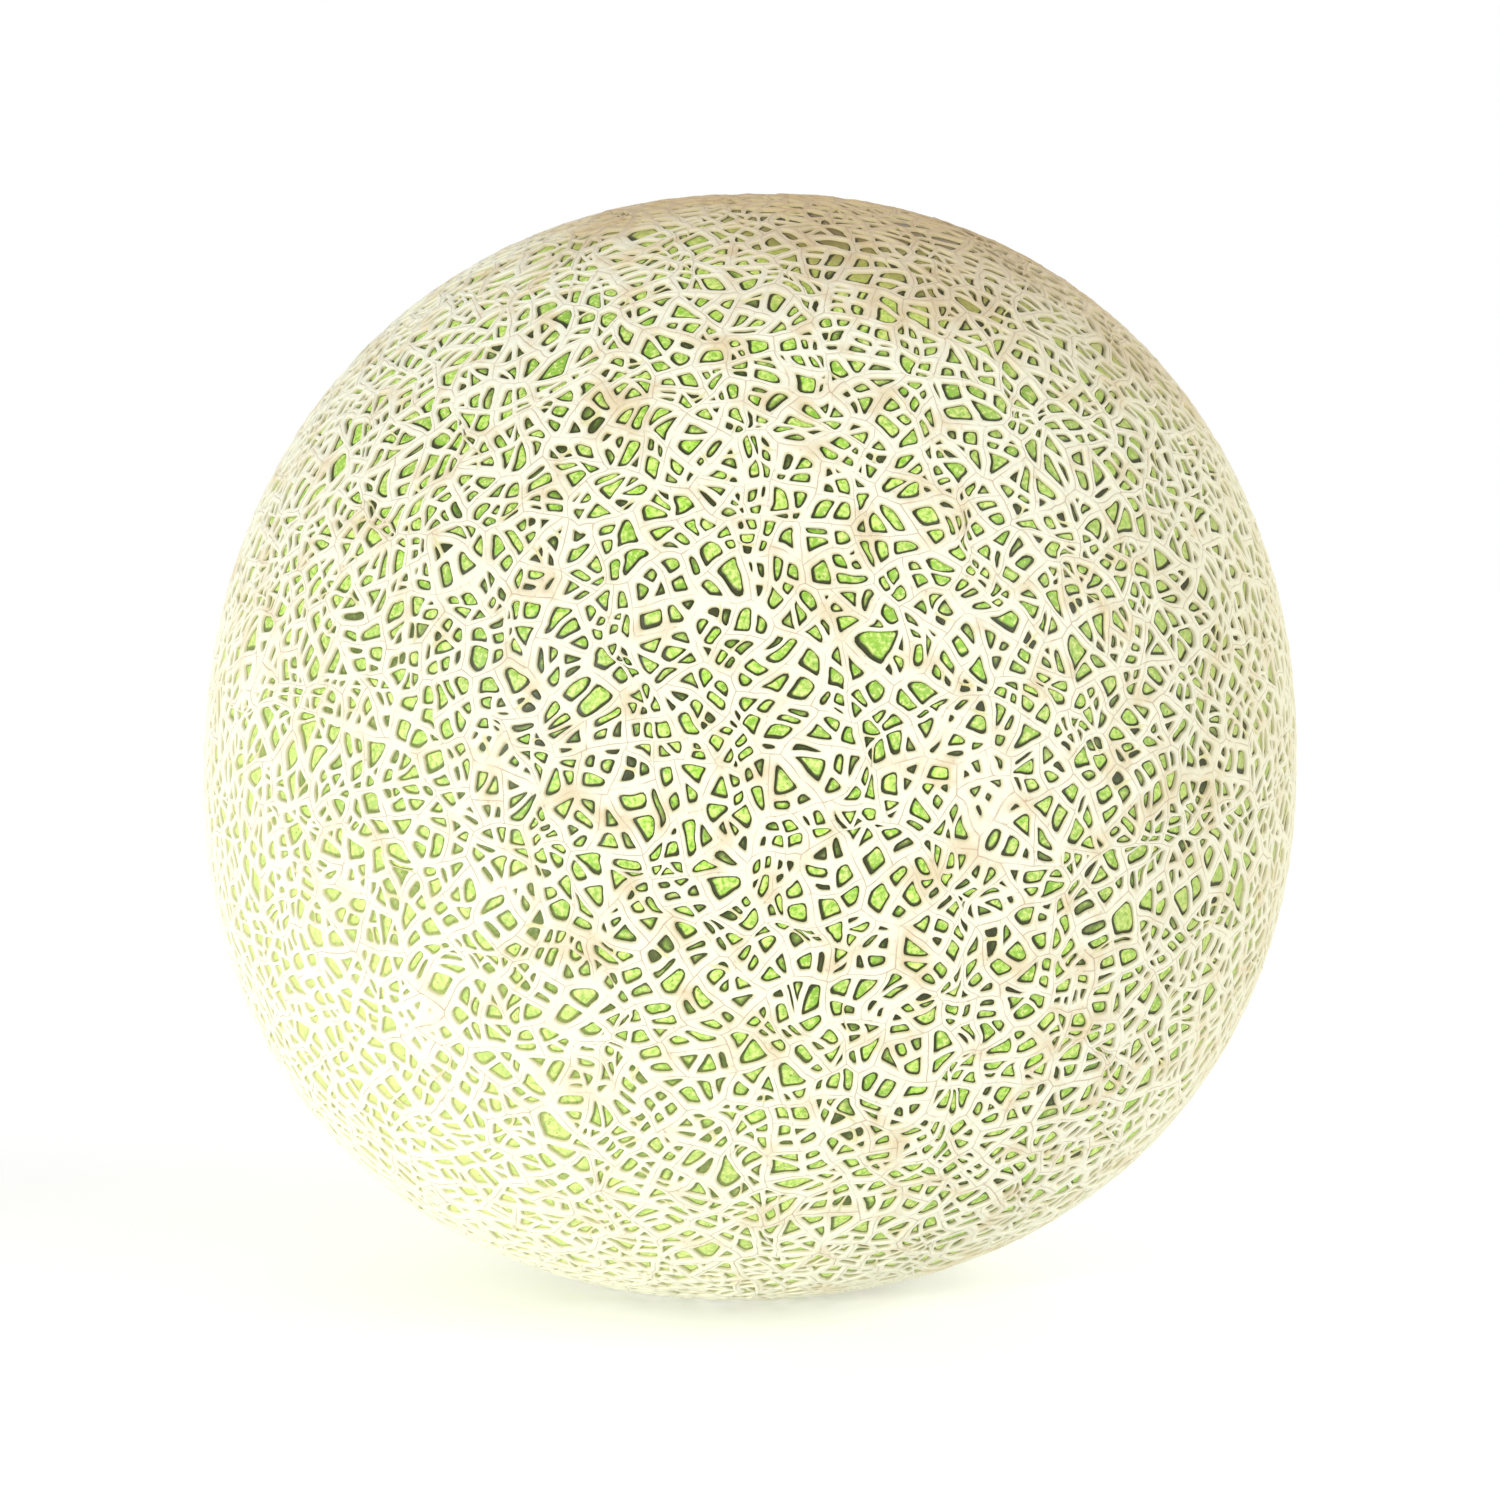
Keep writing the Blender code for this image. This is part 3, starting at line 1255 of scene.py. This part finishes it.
@dataclass(frozen=True)
class SkinFinish(Finish):
    """Waxy green skin, with painted shade darkening each window towards the net, so the middle of a window
    is lighter and more yellow; paler on the lit lower left as painted light, and greyer on the right and
    browner on top, partly as painted shade.
    """

    deep: tuple = linear(132, 178, 56)
    fresh: tuple = linear(170, 218, 78)
    bright: tuple = linear(220, 230, 142)
    # Near-black colour for the painted shade at the edges of the windows; it also paints the small dark
    # specks.
    rim: tuple = linear(36, 32, 12)
    # Zone colours: the tan and the dark brown are partly the stem end's real colour and partly painted
    # shade on top; the greyer green is partly painted shade on the right side; the pale green is painted
    # light on the lower left.
    tanned: tuple = linear(184, 158, 84)
    olive: tuple = linear(158, 164, 98)
    litside: tuple = linear(226, 234, 152)
    brown: tuple = linear(92, 68, 32)

    def material(self) -> bpy.types.Material:
        """Builds the material."""
        material, tray, shader = self.start("green_skin")
        zones = tray.effect(self.zones, Raggedness=0.35)
        grain = tray.effect(self.grain, Lump_Size=0.0006, Speck_Size=0.0008)
        inset, tint = tray.mark("inset"), tray.mark("tint")
        colour = tray.mix(tray.step(tray.noise(0.012, 3.0), 0.35, 0.70), self.deep, self.fresh)
        colour = tray.mix(tray.sum("MULTIPLY", tint, 0.45), colour, self.bright)
        colour = tray.mix(tray.step(grain["Height"], 0.50, 0.36), colour, self.deep)
        mottle = tray.sum("MULTIPLY", tray.step(grain["Height"], 0.50, 0.62), 0.75)
        colour = tray.mix(mottle, colour, self.bright)
        # Painted light and shade over the skin's own colour: paler on the lit lower left, greyer on the
        # right, tan on top.
        colour = tray.mix(tray.sum("MULTIPLY", zones["LitSide"], 0.65), colour, self.litside)
        colour = tray.mix(tray.sum("MULTIPLY", zones["Olive"], 0.80), colour, self.olive)
        colour = tray.mix(tray.sum("MULTIPLY", zones["Tanned"], 0.90), colour, self.tanned)
        # Darker brown towards the top, partly the stem end's real brown and partly painted shade.
        brown = tray.sum("MULTIPLY", tray.step(zones["Tanned"], 0.3, 0.9), 0.85)
        colour = tray.mix(brown, colour, self.brown)
        colour = tray.mix(tray.sum("MULTIPLY", grain["Specks"], 0.5), colour, self.rim)
        # Painted shade: each window darkens towards the net, and less so on the lit lower left.
        edge = tray.sum("SUBTRACT", 1.0, tray.step(inset, 0.30, 0.66))
        shade_strength = tray.sum("SUBTRACT", 0.95, tray.sum("MULTIPLY", zones["LitSide"], 0.80))
        colour = tray.mix(tray.sum("MULTIPLY", edge, shade_strength), colour, self.rim)
        tray.feed(shader["Base Color"], colour)
        tray.feed(shader["Roughness"], tray.sum("MULTIPLY_ADD", grain["Height"], 0.25, 0.36))
        shader["Specular IOR Level"].default_value = 0.4
        tray.feed(shader["Normal"], tray.bump(grain["Height"], 0.00006, 0.7))
        return material


@dataclass(frozen=True)
class ScarFinish(Finish):
    """Old brown cork where the stem slipped off."""

    litside: tuple = linear(188, 164, 126)
    dark: tuple = linear(106, 84, 56)

    def material(self) -> bpy.types.Material:
        """Builds the material."""
        material, tray, shader = self.start("stem_cork")
        grain = tray.effect(self.grain, Lump_Size=0.0006, Speck_Size=0.0009)
        colour = tray.mix(tray.step(tray.noise(0.0016, 4.0), 0.35, 0.70), self.dark, self.litside)
        colour = tray.mix(tray.sum("MULTIPLY", tray.mark("hollow"), 0.7), colour, self.dark)
        tray.feed(shader["Base Color"], colour)
        tray.feed(shader["Roughness"], tray.sum("MULTIPLY_ADD", grain["Height"], 0.2, 0.75))
        shader["Specular IOR Level"].default_value = 0.2
        tray.feed(shader["Normal"], tray.bump(grain["Height"], 0.00015, 0.9))
        return material


@dataclass
class StemScar:
    """The round scar in the dish on top, with a raised lip and a fibrous middle.

    Attributes:
        shape: the body that it sits in.
        radius: out to where the lip meets the net.
        spokes: points round it.
        rings: points from the edge to the middle.
        sunk: how far the middle lies under the crests of the net.
    """

    shape: MelonShape
    radius: float = 0.0062
    spokes: int = 120
    rings: int = 30
    sunk: float = 0.0011

    def build(self) -> bpy.types.Object:
        """Makes the scar's mesh.

        Returns:
            The object, with its hollows marked for the finish.
        """
        turns = np.linspace(0, math.tau, self.spokes, endpoint=False)
        shares = np.linspace(1.0, 0.03, self.rings)
        turn, share = np.meshgrid(turns, shares)
        wobble = 1 + 0.05 * np.sin(3 * turn + 1) + 0.03 * np.sin(7 * turn + 2)
        tilt = share * wobble * self.radius / self.shape.half_height
        flat = np.stack([np.sin(tilt) * np.cos(turn), np.sin(tilt) * np.sin(turn), np.cos(tilt)], -1)
        directions = flat.reshape(-1, 3)
        places = directions * self.shape.mean_radius
        lip = np.exp(-(((share - 0.84) / 0.09) ** 2))
        skirt = smooth_step(0.90, 1.0, share)
        fibres = 0.5 + 0.5 * np.sin(turn * 17 + 3 * np.sin(turn * 5) + share * 9)
        cup = smooth_step(0.84, 0.60, share)
        hollow = cup * (0.55 + 0.45 * fibres)
        depth = 0.00012 + self.sunk * hollow * 0.75 + 0.0010 * skirt - 0.00010 * lip
        depth = depth.ravel() + 0.00010 * Ripples(0.0011, 141).at(places) * (1 - lip.ravel())
        points = self.shape.below(directions, np.maximum(depth, 0.00003))
        middle = points[-self.spokes :].mean(0)
        numbers = np.arange(len(points)).reshape(self.rings, self.spokes)
        outer, inner = numbers[:-1], numbers[1:]
        bands = [outer, np.roll(outer, -1, 1), np.roll(inner, -1, 1), inner]
        quads = np.stack(bands, axis=-1).reshape(-1, 4)
        last = numbers[-1]
        fan = np.stack([last, np.roll(last, -1), np.full_like(last, len(points))], axis=-1)
        thing = make_mesh("stem_scar", np.vstack([points, middle]), [quads, fan])
        layer = thing.data.attributes.new("hollow", "FLOAT", "POINT")
        layer.data.foreach_set("value", np.append(hollow.ravel(), 1.0).astype(np.float32))
        return thing


class Side(Enum):
    """Where the light of a lamp comes from, as seen from the middle of the melon."""

    LOWER_LEFT = (-0.80, -0.72, 0.13)
    RIGHT = (0.90, -0.50, 0.30)
    ABOVE = (0.10, 0.20, 1.00)
    BEHIND = (0.30, 1.00, 0.35)


@dataclass
class Studio:
    """A pale floor, soft lamps and the camera.

    Attributes:
        shape: the melon.
        lens: of the camera, in millimetres.
        sensor: width of the camera's film, in millimetres.
        fill: share of the picture's width that the melon takes.
        elevation: of the camera over the melon's middle, in degrees.
        aim: how far under the melon's middle the camera looks.
        backdrop: brightness of the surroundings as the camera sees them.
        air: brightness of the light that comes from all sides.
        floor_radius: of the round floor.
        floor_glow: how brightly the floor is lit from below, as a light table is.
        lamps: the side, softness in degrees and power of each lamp.
    """

    shape: MelonShape
    lens: float = 85.0
    sensor: float = 36.0
    fill: float = 0.7287
    elevation: float = 3.5
    aim: float = 0.0010
    backdrop: float = 1.0
    air: float = 0.50
    floor_radius: float = 6.0
    floor_glow: float = 0.28
    lamps: tuple[tuple[Side, float, float], ...] = (
        (Side.LOWER_LEFT, 6.0, 2.1),
        (Side.RIGHT, 50.0, 1.9),
        (Side.ABOVE, 60.0, 0.1),
        (Side.BEHIND, 50.0, 0.9),
    )

    def build(self) -> None:
        """Sets up the floor, the surroundings, the lamps and the camera."""
        bpy.context.scene.view_settings.view_transform = "Standard"
        self._surroundings()
        self._floor()
        for side, softness, power in self.lamps:
            self._lamp(side, softness, power)
        self._camera()

    def _surroundings(self) -> None:
        """Lights the melon evenly from all sides, in front of a white backdrop."""
        world = bpy.data.worlds.new("studio_air")
        bpy.context.scene.world = world
        world.use_nodes = True
        tray = NodeTray(world.node_tree)
        seen = tray.new("ShaderNodeLightPath").outputs["Is Camera Ray"]
        light = tray.sum("MULTIPLY_ADD", seen, self.backdrop - self.air, self.air)
        sky = world.node_tree.nodes["Background"].inputs
        sky["Color"].default_value = (1.0, 1.0, 1.0, 1.0)
        tray.feed(sky["Strength"], light)

    def _floor(self) -> None:
        """Lays the floor that the melon rests on."""
        bm = bmesh.new()
        bmesh.ops.create_circle(bm, cap_ends=True, segments=96, radius=self.floor_radius)
        mesh = bpy.data.meshes.new("studio_floor")
        bm.to_mesh(mesh)
        bm.free()
        floor = bpy.data.objects.new("studio_floor", mesh)
        floor.location.z = float(self.shape.low[2]) - 0.0001
        bpy.context.scene.collection.objects.link(floor)
        material = bpy.data.materials.new("studio_white")
        material.use_nodes = True
        shader = material.node_tree.nodes["Principled BSDF"].inputs
        shader["Base Color"].default_value = (0.96, 0.96, 0.96, 1.0)
        shader["Roughness"].default_value = 0.9
        shader["Specular IOR Level"].default_value = 0.1
        shader["Emission Color"].default_value = (1.0, 1.0, 1.0, 1.0)
        shader["Emission Strength"].default_value = self.floor_glow
        mesh.materials.append(material)

    def _lamp(self, side: Side, softness: float, power: float) -> None:
        """Sets a far-off lamp that shines on the melon from one side."""
        light = bpy.data.lights.new(side.name.lower(), "SUN")
        light.energy = power
        light.angle = math.radians(softness)
        lamp = bpy.data.objects.new(light.name, light)
        lamp.location = Vector(side.value).normalized()
        lamp.rotation_euler = lamp.location.to_track_quat("Z", "Y").to_euler()
        bpy.context.scene.collection.objects.link(lamp)

    def _camera(self) -> None:
        """Stands the camera in front, so far off that the melon takes its share of the picture."""
        data = bpy.data.cameras.new("camera")
        data.lens = self.lens
        data.sensor_width = self.sensor
        data.clip_start = 0.01
        camera = bpy.data.objects.new("camera", data)
        half = math.atan(self.fill * self.sensor / 2 / self.lens)
        distance = self.shape.half_width / math.sin(half)
        up = math.radians(self.elevation)
        target = Vector((self.shape.low + self.shape.high) / 2) - Vector((0, 0, self.aim))
        camera.location = target + Vector((0, -math.cos(up), math.sin(up))) * distance
        camera.rotation_euler = (target - camera.location).to_track_quat("-Z", "Y").to_euler()
        bpy.context.scene.collection.objects.link(camera)
        bpy.context.scene.camera = camera


def place(piece: bpy.types.Object, material: bpy.types.Material) -> None:
    """Gives a piece its finish and its place on the melon.

    Args:
        piece: the piece.
        material: its finish.
    """
    piece.data.materials.append(material)
    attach(piece, BODY)
    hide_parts(NODE)
    size = ", ".join(f"{1000 * side:.1f}" for side in piece.dimensions)
    LOG.info("%s: %d faces, %s mm", piece.name, len(piece.data.polygons), size)


def main() -> None:
    """Builds the melon round its frame and puts it in the studio."""
    logging.basicConfig(level=logging.INFO, format="%(message)s")
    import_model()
    low, high = (np.array(corner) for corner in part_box(NODE))
    shape = MelonShape(low, high)
    wander = Wander(shape.mean_radius)
    cracks = CrackMap(shape.mean_radius)
    cracks.grow()
    rind = Rind(shape, cracks)
    rind.build()
    common = (RipeningAndLightZones(tuple(shape.centre), shape.mean_radius).group(), Grain.group())
    net = finish_patchwork("cork_net", rind.net, shape, wander, lively=True)
    place(net, CorkFinish(*common).material())
    skin = finish_patchwork("green_skin", rind.skin, shape, wander, lively=False)
    place(skin, SkinFinish(*common).material())
    place(StemScar(shape).build(), ScarFinish(*common).material())
    Studio(shape).build()
    LOG.info("cells: %d", sum(len(group.cells) for group in cracks.groups))


if __name__ == "__main__":
    main()
